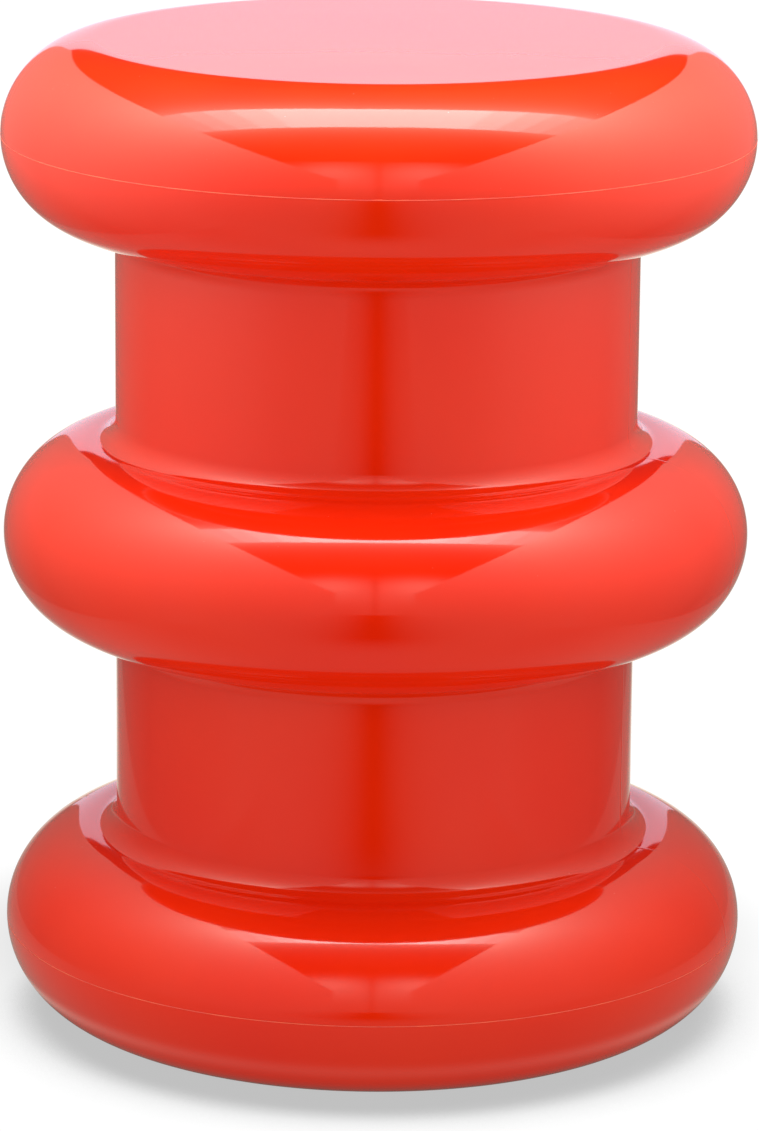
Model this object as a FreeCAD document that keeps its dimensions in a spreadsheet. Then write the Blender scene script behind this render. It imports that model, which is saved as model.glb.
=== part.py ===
import FreeCAD, Part
import os
import re

import Sketcher

# A moulded plastic column stool, in millimetres: three bulging rings, two plain drums between
# them and a flat round seat. +Z is up. The origin is the middle of the floor it stands on.
#
# The outside is three glossy mouldings bonded at the widest line of the top and bottom rings.
# Inside, a tube between two ribbed stiffeners carries the weight from the seat to the pads.

document = FreeCAD.newDocument("column_stool")

# The driving dimensions. Each one can be changed by itself.
DRIVING = (
    ("overall_height", 460, "floor to seat"),
    ("ring_diameter", 346, "widest line of the three rings"),
    ("ring_height", 86.5, "height of one ring, twice the radius of its round"),
    ("drum_diameter", 242, "the plain drums between the rings"),
    ("neck_fillet", 10, "hollow round where a drum meets a ring"),
    ("wall", 4, "moulded wall of the three outer shells"),
    ("bead_height", 0.8, "adhesive bead in the seam"),
    ("bead_depth", 1, "how far the bead's groove goes in"),
    ("bead_proud", 0.12, "how far the bead's crown stands out"),
    ("joint_lap", 8, "how far the lip reaches past the seam, and below it"),
    ("joint_lip", 2.5, "thickness of the lip"),
    ("joint_clearance", 0.15, "lip to the shell that it enters"),
    ("pad_count", 6, "foot pads, screws and pan bosses"),
    ("pad_diameter", 28, "rubber foot pad"),
    ("pad_thickness", 3.5, "rubber foot pad"),
    ("pad_standoff", 1.5, "how far the pads lift the pan off the floor"),
    ("pad_clearance", 0.2, "pad to the side of its recess"),
    ("pad_edge", 1, "rounded lower edge of a pad"),
    ("pad_dimple", 10, "diameter of the dimple under a pad"),
    ("dimple_depth", 0.5, "depth of that dimple"),
    ("pad_inset", 19.75, "edge of the flat underside to the middle of a pad"),
    ("boss_wall", 3, "pan wall round a pad recess"),
    ("boss_floor", 3, "plastic that a screw clamps"),
    ("screw_diameter", 5, "self-tapping screw"),
    ("screw_length", 20, "under the head"),
    ("screw_tip", 4, "length of the point"),
    ("screw_play", 0.25, "screw to the side of its hole in the pan and the washer"),
    ("pilot_clearance", 0.05, "screw to the side of its pilot hole"),
    ("pilot_spare", 2, "pilot hole past the point of the screw"),
    ("head_diameter", 9.5, "screw head"),
    ("head_height", 2.8, "screw head"),
    ("head_flat", 7, "flat top of the screw head"),
    ("head_gap", 0.2, "screw head to the pad that covers it"),
    ("recess_length", 5.6, "cross recess in the head, tip to tip"),
    ("recess_width", 1.2, "cross recess in the head"),
    ("recess_depth", 1.6, "cross recess in the head"),
    ("washer_diameter", 12, "flat washer under the head"),
    ("washer_thickness", 1, "flat washer under the head"),
    ("washer_clearance", 0.5, "washer to the side of the counterbore"),
    ("dish_gap", 1, "dished middle of the pan to the stiffener over it"),
    ("dish_margin", 4.8, "flat between the dish and the nearest boss"),
    ("plate_margin", 5.75, "stiffener's edge to the edge of the flat it lies on"),
    ("plate_thickness", 3, "stiffener's plate"),
    ("plate_opening", 70, "hole in the middle of the plate"),
    ("plate_rim", 9, "height of the stiffener's rim, plate included"),
    ("rib_thickness", 3, "stiffener ribs and rim"),
    ("rib_height", 22, "stiffener ribs at the socket, above the plate"),
    ("socket_depth", 25, "how far the tube enters a stiffener's socket"),
    ("socket_wall", 3, "the socket's wall"),
    ("screw_boss_wall", 4.5, "plastic round the pilot hole"),
    ("screw_boss_cover", 3, "plastic past the end of the screw"),
    ("tube_diameter", 100, "support tube, outside"),
    ("tube_wall", 3, "support tube"),
    ("tube_clearance", 0.15, "tube to the sockets and collars round it"),
    ("tube_chamfer", 0.8, "outer edges of the tube's ends"),
    ("brace_height", 24, "neck brace, rim and hub"),
    ("brace_web", 3, "neck brace, flat web and spokes"),
    ("brace_wall", 3, "neck brace, rim and hub"),
    ("brace_clearance", 0.3, "neck brace to the drum round it"),
    ("brace_spokes", 6, "spokes, and openings between them"),
    ("web_margin", 9, "web left round an opening"),
    ("vent_diameter", 10, "vent hole in the middle of the pan"),
    ("vent_clearance", 0.1, "plug to the side of the vent hole"),
    ("plug_head", 20, "diameter of the vent plug's head"),
    ("plug_head_thickness", 1.5, "the vent plug's head"),
    ("plug_barb", 0.7, "how far the plug's barb stands out past the hole"),
    ("plug_tip", 3, "length of the plug's tapered tip"),
)

# What follows from them. Heights are above the floor, and radii from the middle.
WORKED_OUT = (
    ("ring_radius", "ring_diameter / 2"),
    ("round_radius", "ring_height / 2"),
    ("round_centre", "ring_radius - round_radius"),
    ("drum_radius", "drum_diameter / 2"),
    ("neck_centre", "drum_radius + neck_fillet"),
    ("neck_reach", "round_radius + neck_fillet"),
    ("neck_rise", "sqrt(neck_reach ^ 2 - (neck_centre - round_centre) ^ 2)"),
    ("low_ring", "pad_standoff + round_radius"),
    ("top_ring", "overall_height - round_radius"),
    ("middle_ring", "(low_ring + top_ring) / 2"),
    ("seat_underside", "overall_height - wall"),
    ("half_bead", "bead_height / 2"),
    ("groove_radius", "ring_radius - bead_depth"),
    ("bead_edge", "round_centre + sqrt(round_radius ^ 2 - half_bead ^ 2)"),
    ("crown_radius", "(half_bead ^ 2 + bead_proud ^ 2) / (2 * bead_proud)"),
    ("crown_centre", "bead_edge + bead_proud - crown_radius"),
    ("lip_mouth", "round_centre + sqrt((round_radius - wall) ^ 2 - joint_lap ^ 2)"),
    ("lip_outside", "lip_mouth - joint_clearance"),
    ("lip_inside", "lip_outside - joint_lip"),
    ("lip_root", "ring_radius - wall / 2"),
    ("pad_orbit", "round_centre - pad_inset"),
    ("pad_radius", "pad_diameter / 2"),
    ("recess_radius", "pad_radius + pad_clearance"),
    ("pan_boss_radius", "recess_radius + boss_wall"),
    ("head_low", "pad_thickness + head_gap"),
    ("head_seat", "head_low + head_height"),
    ("washer_seat", "head_seat + washer_thickness"),
    ("boss_top", "washer_seat + boss_floor"),
    ("screw_radius", "screw_diameter / 2"),
    ("screw_hole_radius", "screw_radius + screw_play"),
    ("counterbore_radius", "washer_diameter / 2 + washer_clearance"),
    ("screw_end", "head_seat + screw_length"),
    ("pilot_radius", "screw_radius + pilot_clearance"),
    ("pilot_depth", "screw_end + pilot_spare - boss_top"),
    ("screw_boss_radius", "pilot_radius + screw_boss_wall"),
    ("screw_boss_height", "screw_end + screw_boss_cover - boss_top"),
    ("dish_top", "boss_top - dish_gap"),
    ("dish_underside", "dish_top - wall"),
    ("dish_depth", "dish_underside - pad_standoff"),
    ("dish_edge", "pad_orbit - pan_boss_radius - dish_margin"),
    ("dish_radius", "dish_edge - dish_depth"),
    ("dish_shift", "wall * (sqrt(2) - 1)"),
    ("plate_radius", "round_centre - plate_margin"),
    ("tube_radius", "tube_diameter / 2"),
    ("socket_inside", "tube_radius + tube_clearance"),
    ("socket_outside", "socket_inside + socket_wall"),
    ("tube_foot", "boss_top + plate_thickness"),
    ("tube_head", "seat_underside - plate_thickness"),
    ("hub_outside", "socket_inside + brace_wall"),
    ("brace_radius", "drum_radius - wall - brace_clearance"),
    ("rim_inside", "brace_radius - brace_wall"),
    ("web_middle", "(hub_outside + rim_inside) / 2"),
    ("opening_radius", "(rim_inside - hub_outside) / 2 - web_margin"),
    ("vent_radius", "vent_diameter / 2"),
)

RING_FACE = ("low_ring", "middle_ring", "top_ring")

sizes = document.addObject("Spreadsheet::Sheet", "sizes")
worked = document.addObject("App::VarSet", "worked")
trial = document.addObject("App::VarSet", "trial")
trial.addProperty("App::PropertyFloat", "answer", "Trial", "the present value of one formula")

HOME = {name: "sizes." for name, _, _ in DRIVING}
HOME.update({name: "worked." for name, _ in WORKED_OUT})


def bound(formula):
    """The formula, with each name in it pointed at the object that holds its value."""
    return re.sub(r"[a-z][a-z_]*", lambda word: HOME.get(word.group(), "") + word.group(), formula)


def number(formula):
    """The present value of a formula."""
    trial.setExpression("answer", bound(formula))
    trial.recompute()
    return trial.answer


def fill_sheet():
    """Write the driving dimensions into the sheet, then bind what follows from them."""
    for row, (name, value, note) in enumerate(DRIVING, start=1):
        sizes.set(f"A{row}", name)
        sizes.set(f"B{row}", str(value))
        sizes.set(f"C{row}", note)
        sizes.setAlias(f"B{row}", name)
    document.recompute()
    for name, formula in WORKED_OUT:
        worked.addProperty("App::PropertyFloat", name, "Worked out", formula)
        worked.setExpression(name, bound(formula).replace("worked.", ""))
    document.recompute()


# Sketches and features.


def new_body(name, height="0"):
    """An empty sub-part at a height above the floor."""
    body = document.addObject("PartDesign::Body", name)
    body.Label = name
    body.setExpression("Placement.Base.z", bound(height))
    return body


def new_sketch(body, name, plane, height="0"):
    """A sketch on one of the body's own planes, raised off it by a height."""
    sketch = body.newObject("Sketcher::SketchObject", f"{body.Name}_{name}")
    origin_planes = {feature.Role: feature for feature in body.Origin.OriginFeatures}
    sketch.AttachmentSupport = [(origin_planes[plane], "")]
    sketch.MapMode = "FlatFace"
    sketch.setExpression("AttachmentOffset.Base.z", bound(height))
    return sketch


def bind(sketch, place, name, formula):
    """Name a constraint and bind it to a formula."""
    sketch.renameConstraint(place, name)
    sketch.setExpression(f"Constraints.{name}", bound(formula))


def pin_point(sketch, side, end, across, up, name):
    """Fix one end of a side, or the centre of a round, by two bound distances."""
    for kind, formula in (("DistanceX", across), ("DistanceY", up)):
        place = sketch.addConstraint(Sketcher.Constraint(kind, -1, 1, side, end, number(formula)))
        bind(sketch, place, f"{name}_{kind[-1].lower()}", formula)


def straight(start, stop):
    return Part.LineSegment(FreeCAD.Vector(*start, 0), FreeCAD.Vector(*stop, 0))


def arc(start, stop, centre, turn):
    """An arc from start to stop, turning left or right about its centre."""
    middle = FreeCAD.Vector(*centre, 0)
    first = FreeCAD.Vector(*start, 0) - middle
    last = FreeCAD.Vector(*stop, 0) - middle
    if turn == "right":
        first, last = last, first
    across = FreeCAD.Vector(1, 0, 0)
    angles = [across.getAngle(spoke) * (1 if spoke.y >= 0 else -1) for spoke in (first, last)]
    circle = Part.Circle(middle, FreeCAD.Vector(0, 0, 1), first.Length)
    return Part.ArcOfCircle(circle, *angles)


def outline(sketch, corners):
    """A closed outline. Each corner is (across, up), and the side that leaves it is straight,
    or is an arc if the corner goes on with (centre across, centre up, turn)."""
    places = [(number(corner[0]), number(corner[1])) for corner in corners]
    following = places[1:] + places[:1]
    ends = []
    for corner, start, stop in zip(corners, places, following):
        if len(corner) == 2:
            sketch.addGeometry(straight(start, stop))
            ends.append((1, 2))
        else:
            centre = (number(corner[2]), number(corner[3]))
            sketch.addGeometry(arc(start, stop, centre, corner[4]))
            ends.append((1, 2) if corner[4] == "left" else (2, 1))
    for side, (_, last) in enumerate(ends):
        after = (side + 1) % len(ends)
        sketch.addConstraint(Sketcher.Constraint("Coincident", side, last, after, ends[after][0]))
    for side, corner in enumerate(corners):
        pin_point(sketch, side, ends[side][0], corner[0], corner[1], f"corner{side}")
        if len(corner) > 2:
            place = sketch.addConstraint(Sketcher.Constraint("DistanceX", -1, 1, side, 3, number(corner[2])))
            bind(sketch, place, f"centre{side}", corner[2])
    return sketch


def round_hole(sketch, across, up, radius):
    """A full circle in a sketch."""
    centre = FreeCAD.Vector(number(across), number(up), 0)
    side = sketch.addGeometry(Part.Circle(centre, FreeCAD.Vector(0, 0, 1), number(radius)))
    pin_point(sketch, side, 3, across, up, f"circle{side}")
    place = sketch.addConstraint(Sketcher.Constraint("Radius", side, number(radius)))
    bind(sketch, place, f"radius{side}", radius)
    return sketch


def turned(body, name, corners, kind="Revolution", axis=None):
    """Turn an outline about the body's upright axis, or about an upright line set off from it."""
    sketch = outline(new_sketch(body, name, "XZ_Plane"), corners)
    reference = "V_Axis"
    if axis is not None:
        line = sketch.addGeometry(straight((number(axis), 0), (number(axis), number("ring_height"))), True)
        pin_point(sketch, line, 1, axis, "0", "axis_foot")
        pin_point(sketch, line, 2, axis, "ring_height", "axis_head")
        reference = "Axis0"
    feature = body.newObject(f"PartDesign::{kind}", f"{body.Name}_{name}_{kind.lower()}")
    feature.Profile = sketch
    feature.ReferenceAxis = (sketch, [reference])
    feature.Angle = 360
    return feature


def raised(body, sketch, length, both_ways=False):
    """Raise a sketch upward into a solid, or half to each side of its plane."""
    feature = body.newObject("PartDesign::Pad", f"{sketch.Name}_pad")
    feature.Profile = sketch
    feature.Midplane = both_ways
    feature.setExpression("Length", bound(length))
    return feature


def cut_upward(body, sketch, length):
    """Cut a sketch upward into the solid above it."""
    feature = body.newObject("PartDesign::Pocket", f"{sketch.Name}_pocket")
    feature.Profile = sketch
    feature.Reversed = True
    feature.setExpression("Length", bound(length))
    return feature


def repeated(body, name, features, count):
    """Repeat features evenly about the body's upright axis."""
    upright = next(feature for feature in body.Origin.OriginFeatures if feature.Role == "Z_Axis")
    pattern = body.newObject("PartDesign::PolarPattern", f"{body.Name}_{name}")
    pattern.Originals = features
    pattern.Axis = (upright, [""])
    pattern.Angle = 360
    pattern.setExpression("Occurrences", bound(count))
    body.Tip = pattern
    return pattern


# The outer shells.


def ring_point(level, inset, side):
    """Where a ring's round meets the hollow round of the neck above or below it, for the face
    set in from the outside by an inset."""
    share = f"((round_radius - {inset}) / neck_reach)"
    return (f"round_centre + (neck_centre - round_centre) * {share}", f"{level} {side} neck_rise * {share}")


def side_face(inset):
    """The side from the lower seam up to the upper one, set in from the outside by an inset."""
    reach = f"ring_radius - {inset}"
    drum = f"drum_radius - {inset}"
    corners = []
    for level in RING_FACE:
        start = (reach, level) if level == "low_ring" else ring_point(level, inset, "-")
        corners.append((*start, "round_centre", level, "left"))
        if level == "top_ring":
            break
        above = RING_FACE[RING_FACE.index(level) + 1]
        corners.append((*ring_point(level, inset, "+"), "neck_centre", f"{level} + neck_rise", "right"))
        corners.append((drum, f"{level} + neck_rise"))
        corners.append((drum, f"{above} - neck_rise", "neck_centre", f"{above} - neck_rise", "right"))
    corners.append((reach, "top_ring"))
    return corners


def backwards(corners):
    """The same line of corners walked the other way."""
    turns = {"left": "right", "right": "left"}
    walked = []
    for corner, before in zip(corners[::-1], corners[-2::-1] + [()]):
        curve = (before[2], before[3], turns[before[4]]) if len(before) > 2 else ()
        walked.append((*corner[:2], *curve))
    return walked


def seam_groove(body, level, name):
    """The groove round the outside that the adhesive bead fills."""
    corners = (
        ("groove_radius", f"{level} - half_bead"),
        ("ring_radius + bead_depth", f"{level} - half_bead"),
        ("ring_radius + bead_depth", f"{level} + half_bead"),
        ("groove_radius", f"{level} + half_bead"),
    )
    return turned(body, name, corners, kind="Groove")


def joint_lip(body, level, away, name):
    """The lip inside a seam, rooted in the shell and reaching past it into the next one."""
    back = {"+": "-", "-": "+"}[away]
    corners = (
        ("lip_inside", f"{level} {back} joint_lap"),
        ("lip_root", f"{level} {back} joint_lap"),
        ("lip_root", level),
        ("lip_outside", level),
        ("lip_outside", f"{level} {away} joint_lap"),
        ("lip_inside", f"{level} {away} joint_lap"),
    )
    return turned(body, name, corners)


def make_seat_cap():
    body = new_body("seat_cap")
    corners = (
        ("0", "overall_height"),
        ("round_centre", "overall_height", "round_centre", "top_ring", "right"),
        ("ring_radius", "top_ring"),
        ("ring_radius - wall", "top_ring", "round_centre", "top_ring", "left"),
        ("round_centre", "seat_underside"),
        ("0", "seat_underside"),
    )
    turned(body, "dome", corners)
    seam_groove(body, "top_ring", "seam")
    return body


def make_body_shell():
    body = new_body("body_shell")
    turned(body, "side", side_face("0") + backwards(side_face("wall")))
    joint_lip(body, "top_ring", "+", "upper_lip")
    joint_lip(body, "low_ring", "-", "lower_lip")
    seam_groove(body, "top_ring", "upper_seam")
    seam_groove(body, "low_ring", "lower_seam")
    return body


def make_base_pan():
    body = new_body("base_pan")
    corners = (
        ("0", "dish_underside"),
        ("dish_radius", "dish_underside"),
        ("dish_edge", "pad_standoff"),
        ("round_centre", "pad_standoff", "round_centre", "low_ring", "left"),
        ("ring_radius", "low_ring"),
        ("ring_radius - wall", "low_ring", "round_centre", "low_ring", "right"),
        ("round_centre", "pad_standoff + wall"),
        ("dish_edge + dish_shift", "pad_standoff + wall"),
        ("dish_radius + dish_shift", "dish_top"),
        ("0", "dish_top"),
    )
    turned(body, "dome", corners)
    seam_groove(body, "low_ring", "seam")

    half_wall = "pad_standoff + wall / 2"
    boss = round_hole(new_sketch(body, "boss", "XY_Plane", half_wall), "pad_orbit", "0", "pan_boss_radius")
    bosses = raised(body, boss, f"boss_top - ({half_wall})")
    repeated(body, "bosses", [bosses], "pad_count")

    steps = (
        ("recess", "0", "recess_radius", "pad_thickness"),
        ("counterbore", "pad_thickness", "counterbore_radius", "washer_seat - pad_thickness"),
        ("screw_hole", "washer_seat", "screw_hole_radius", "boss_floor"),
    )
    cuts = []
    for name, height, radius, depth in steps:
        sketch = round_hole(new_sketch(body, name, "XY_Plane", height), "pad_orbit", "0", radius)
        cuts.append(cut_upward(body, sketch, depth))
    repeated(body, "pad_seats", cuts, "pad_count")

    vent = round_hole(new_sketch(body, "vent", "XY_Plane", "dish_underside"), "0", "0", "vent_radius")
    cut_upward(body, vent, "wall")
    return body


def make_seam_bead(name, level):
    body = new_body(name, level)
    corners = (
        ("groove_radius", "-half_bead"),
        ("bead_edge", "-half_bead", "crown_centre", "0", "left"),
        ("bead_edge", "half_bead"),
        ("groove_radius", "half_bead"),
    )
    turned(body, "crown", corners)
    return body


# The structure inside.


def make_stiffener(name, height, turned_over):
    """The ribbed disc at either end of the tube. Its flat face is its lower one as moulded."""
    body = new_body(name, height)
    if turned_over:
        body.Placement.Rotation = FreeCAD.Rotation(FreeCAD.Vector(1, 0, 0), 180)
    socket_top = "plate_thickness + socket_depth"
    rim_inside = "plate_radius - rib_thickness"
    corners = (
        ("plate_opening / 2", "0"),
        ("plate_radius", "0"),
        ("plate_radius", "plate_rim"),
        (rim_inside, "plate_rim"),
        (rim_inside, "plate_thickness"),
        ("socket_outside", "plate_thickness"),
        ("socket_outside", socket_top),
        ("socket_inside", socket_top),
        ("socket_inside", "plate_thickness"),
        ("plate_opening / 2", "plate_thickness"),
    )
    turned(body, "plate", corners)

    rib_foot = "plate_thickness / 2"
    rib_start = "socket_inside + socket_wall / 2"
    rib_stop = "plate_radius - rib_thickness / 2"
    rib = outline(
        new_sketch(body, "rib", "XZ_Plane"),
        (
            (rib_start, rib_foot),
            (rib_stop, rib_foot),
            (rib_stop, "plate_rim"),
            (rib_start, "plate_thickness + rib_height"),
        ),
    )
    repeated(body, "ribs", [raised(body, rib, "rib_thickness", both_ways=True)], "2 * pad_count")

    boss = round_hole(new_sketch(body, "boss", "XY_Plane", rib_foot), "pad_orbit", "0", "screw_boss_radius")
    bosses = raised(body, boss, f"screw_boss_height - {rib_foot}")
    repeated(body, "bosses", [bosses], "pad_count")

    pilot = round_hole(new_sketch(body, "pilot", "XY_Plane"), "pad_orbit", "0", "pilot_radius")
    repeated(body, "pilots", [cut_upward(body, pilot, "pilot_depth")], "pad_count")
    return body


def make_support_tube():
    body = new_body("support_tube", "tube_foot")
    length = "(tube_head - tube_foot)"
    corners = (
        ("tube_radius - tube_wall", "0"),
        ("tube_radius - tube_chamfer", "0"),
        ("tube_radius", "tube_chamfer"),
        ("tube_radius", f"{length} - tube_chamfer"),
        ("tube_radius - tube_chamfer", length),
        ("tube_radius - tube_wall", length),
    )
    turned(body, "wall", corners)
    return body


def make_neck_brace(name, height):
    body = new_body(name, height)
    half_web = "brace_web / 2"
    half_height = "brace_height / 2"
    corners = (
        ("socket_inside", f"-{half_height}"),
        ("hub_outside", f"-{half_height}"),
        ("hub_outside", f"-{half_web}"),
        ("rim_inside", f"-{half_web}"),
        ("rim_inside", f"-{half_height}"),
        ("brace_radius", f"-{half_height}"),
        ("brace_radius", half_height),
        ("rim_inside", half_height),
        ("rim_inside", half_web),
        ("hub_outside", half_web),
        ("hub_outside", half_height),
        ("socket_inside", half_height),
    )
    turned(body, "collar", corners)

    spoke_start = "hub_outside - brace_wall / 2"
    spoke_stop = "rim_inside + brace_wall / 2"
    spoke = outline(
        new_sketch(body, "spoke", "XZ_Plane"),
        (
            (spoke_start, f"-{half_height}"),
            (spoke_stop, f"-{half_height}"),
            (spoke_stop, half_height),
            (spoke_start, half_height),
        ),
    )
    repeated(body, "spokes", [raised(body, spoke, "brace_web", both_ways=True)], "brace_spokes")

    between = "180 deg / brace_spokes"
    opening = round_hole(
        new_sketch(body, "opening", "XY_Plane", f"-{half_web}"),
        f"web_middle * cos({between})",
        f"web_middle * sin({between})",
        "opening_radius",
    )
    repeated(body, "openings", [cut_upward(body, opening, "brace_web")], "brace_spokes")
    return body


# What fastens it and what it stands on.


def cross_corners(across):
    """The corners of the cross recess, about a place along the X axis."""
    near = "(recess_width / 2)"
    far = "(recess_length / 2)"
    arm = [(far, f"-{near}"), (far, near), (near, near)]
    corners = []
    for _ in range(4):
        corners += [(f"{across} + ({x})", f"({y})") for x, y in arm]
        arm = [(f"-({y})", x) for x, y in arm]
    return corners


def make_base_screws():
    """One solid for each screw, head down, in one node. The shank is plain, with no thread."""
    body = new_body("base_screws")
    head_radius = "head_diameter / 2"
    corners = (
        ("pad_orbit", "head_low"),
        ("pad_orbit + head_flat / 2", "head_low"),
        (f"pad_orbit + {head_radius}", "head_low + head_height / 2"),
        (f"pad_orbit + {head_radius}", "head_seat"),
        ("pad_orbit + screw_radius", "head_seat"),
        ("pad_orbit + screw_radius", "screw_end - screw_tip"),
        ("pad_orbit", "screw_end"),
    )
    screw = turned(body, "shank", corners, axis="pad_orbit")

    recess = outline(new_sketch(body, "recess", "XY_Plane", "head_low"), cross_corners("pad_orbit"))
    repeated(body, "screws", [screw, cut_upward(body, recess, "recess_depth")], "pad_count")
    return body


def make_base_washers():
    """One solid for each washer, in one node."""
    body = new_body("base_washers")
    corners = (
        ("pad_orbit + screw_hole_radius", "head_seat"),
        ("pad_orbit + washer_diameter / 2", "head_seat"),
        ("pad_orbit + washer_diameter / 2", "washer_seat"),
        ("pad_orbit + screw_hole_radius", "washer_seat"),
    )
    washer = turned(body, "ring", corners, axis="pad_orbit")
    repeated(body, "washers", [washer], "pad_count")
    return body


def make_foot_pad(place):
    """One rubber pad, with a rounded lower edge and a dimple that holds it down."""
    body = new_body(f"foot_pad_{place + 1}")
    turn = f"{place} * 360 deg / pad_count"
    body.setExpression("Placement.Base.x", bound(f"pad_orbit * cos({turn})"))
    body.setExpression("Placement.Base.y", bound(f"pad_orbit * sin({turn})"))
    corners = (
        ("0", "dimple_depth"),
        ("pad_dimple / 2 - dimple_depth", "dimple_depth"),
        ("pad_dimple / 2", "0"),
        ("pad_radius - pad_edge", "0", "pad_radius - pad_edge", "pad_edge", "left"),
        ("pad_radius", "pad_edge"),
        ("pad_radius", "pad_thickness"),
        ("0", "pad_thickness"),
    )
    turned(body, "disc", corners)
    return body


def make_vent_plug():
    """A push-in plug whose head lies in the dish under the pan."""
    body = new_body("vent_plug", "dish_underside")
    head_radius = "plug_head / 2"
    stem_radius = "vent_radius - vent_clearance"
    barb_foot = "wall + vent_clearance"
    corners = (
        ("0", "-plug_head_thickness"),
        (f"{head_radius} - plug_head_thickness / 2", "-plug_head_thickness"),
        (head_radius, "-plug_head_thickness / 2"),
        (head_radius, "0"),
        (stem_radius, "0"),
        (stem_radius, barb_foot),
        ("vent_radius + plug_barb", barb_foot),
        (f"{stem_radius} - plug_barb", f"{barb_foot} + plug_tip"),
        ("0", f"{barb_foot} + plug_tip"),
    )
    turned(body, "plug", corners)
    return body


# Building, checking and writing the sub-parts.


def make_sub_parts():
    """Every sub-part, with the number of separate solids that it should have."""
    pads = round(sizes.pad_count)
    parts = [
        (make_seat_cap(), 1),
        (make_body_shell(), 1),
        (make_base_pan(), 1),
        (make_seam_bead("upper_seam_bead", "top_ring"), 1),
        (make_seam_bead("lower_seam_bead", "low_ring"), 1),
        (make_stiffener("seat_stiffener", "seat_underside", turned_over=True), 1),
        (make_stiffener("base_stiffener", "boss_top", turned_over=False), 1),
        (make_support_tube(), 1),
        (make_neck_brace("upper_neck_brace", "(middle_ring + top_ring) / 2"), 1),
        (make_neck_brace("lower_neck_brace", "(low_ring + middle_ring) / 2"), 1),
        (make_base_screws(), pads),
        (make_base_washers(), pads),
        (make_vent_plug(), 1),
    ]
    return parts + [(make_foot_pad(place), 1) for place in range(pads)]


def check_features():
    """Stop at a feature that failed, a loose sketch, or a cut that removed nothing."""
    for item in document.Objects:
        if "Invalid" in item.State or "Error" in item.State:
            raise RuntimeError(f"{item.Name} failed: {item.State}")
        if item.TypeId == "Sketcher::SketchObject" and not item.FullyConstrained:
            raise RuntimeError(f"{item.Name} isn't fully constrained")
        if item.TypeId in ("PartDesign::Pocket", "PartDesign::Groove"):
            if item.Shape.Volume >= item.BaseFeature.Shape.Volume:
                raise RuntimeError(f"{item.Name} cut nothing")


def write_sub_parts(parts):
    """Check each sub-part's shape, then write one STEP file for each."""
    for body, solids in parts:
        if body.Shape.isNull() or not body.Shape.isValid():
            raise RuntimeError(f"{body.Label} has no valid shape")
        if len(body.Shape.Solids) != solids:
            raise RuntimeError(f"{body.Label} has {len(body.Shape.Solids)} solids, not {solids}")
    os.makedirs("parts", exist_ok=True)
    for body, _ in parts:
        body.Shape.exportStep(f"parts/{body.Label}.step")
        print(f"{body.Label}: {body.Shape.Volume / 1000:.1f} cm3")


fill_sheet()
sub_parts = make_sub_parts()
document.removeObject(trial.Name)
document.recompute()
check_features()
write_sub_parts(sub_parts)
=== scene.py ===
"""Moulded column stool: three fat rings, two plain drums and a flat round seat, in glossy plastic.

Every length is in metres and +Z is up. The origin is the middle of the floor under the stool.
"""

import math

import bmesh
import bpy
from bpy.props import FloatProperty, FloatVectorProperty, IntProperty, PointerProperty
from mathutils import Matrix, Vector, noise


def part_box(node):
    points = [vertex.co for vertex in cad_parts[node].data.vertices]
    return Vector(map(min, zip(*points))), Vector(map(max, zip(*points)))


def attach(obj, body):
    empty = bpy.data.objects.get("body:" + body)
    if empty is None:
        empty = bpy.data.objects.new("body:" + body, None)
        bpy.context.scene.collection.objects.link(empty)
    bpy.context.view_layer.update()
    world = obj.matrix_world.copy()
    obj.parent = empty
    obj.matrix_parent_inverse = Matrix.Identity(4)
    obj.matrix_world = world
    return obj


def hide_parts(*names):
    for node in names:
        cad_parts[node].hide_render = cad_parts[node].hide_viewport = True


bl_info = {
    "name": "Moulded column stool",
    "version": (1, 0, 0),
    "blender": (4, 5, 0),
    "location": "3D View > Sidebar > Stool",
    "description": "Builds the mouldings, seams, feet and studio of a glossy column stool",
    "category": "Add Mesh",
}

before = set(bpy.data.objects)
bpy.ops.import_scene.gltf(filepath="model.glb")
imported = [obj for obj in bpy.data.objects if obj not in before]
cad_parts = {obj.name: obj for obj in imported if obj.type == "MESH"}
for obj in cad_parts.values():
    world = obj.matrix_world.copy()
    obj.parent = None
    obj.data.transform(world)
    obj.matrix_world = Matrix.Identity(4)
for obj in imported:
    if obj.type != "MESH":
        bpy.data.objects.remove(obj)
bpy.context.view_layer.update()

MM = 0.001

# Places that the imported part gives.
SEAT_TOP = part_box("seat_cap")[1].z
RING_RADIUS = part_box("seat_cap")[1].x
UPPER_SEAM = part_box("seat_cap")[0].z
LOWER_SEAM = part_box("base_pan")[1].z
PAN_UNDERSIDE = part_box("base_pan")[0].z
ROUND_RADIUS = SEAT_TOP - UPPER_SEAM
ROUND_CENTRE = RING_RADIUS - ROUND_RADIUS
MIDDLE_RING = (UPPER_SEAM + LOWER_SEAM) / 2
LIP_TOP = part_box("body_shell")[1].z
FOOT_PADS = sorted(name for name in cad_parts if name.startswith("foot_pad_"))
STEEL_NODES = ("base_screws", "base_washers")
STRUCTURE_NODES = (
    "seat_stiffener",
    "base_stiffener",
    "support_tube",
    "upper_neck_brace",
    "lower_neck_brace",
)


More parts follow.
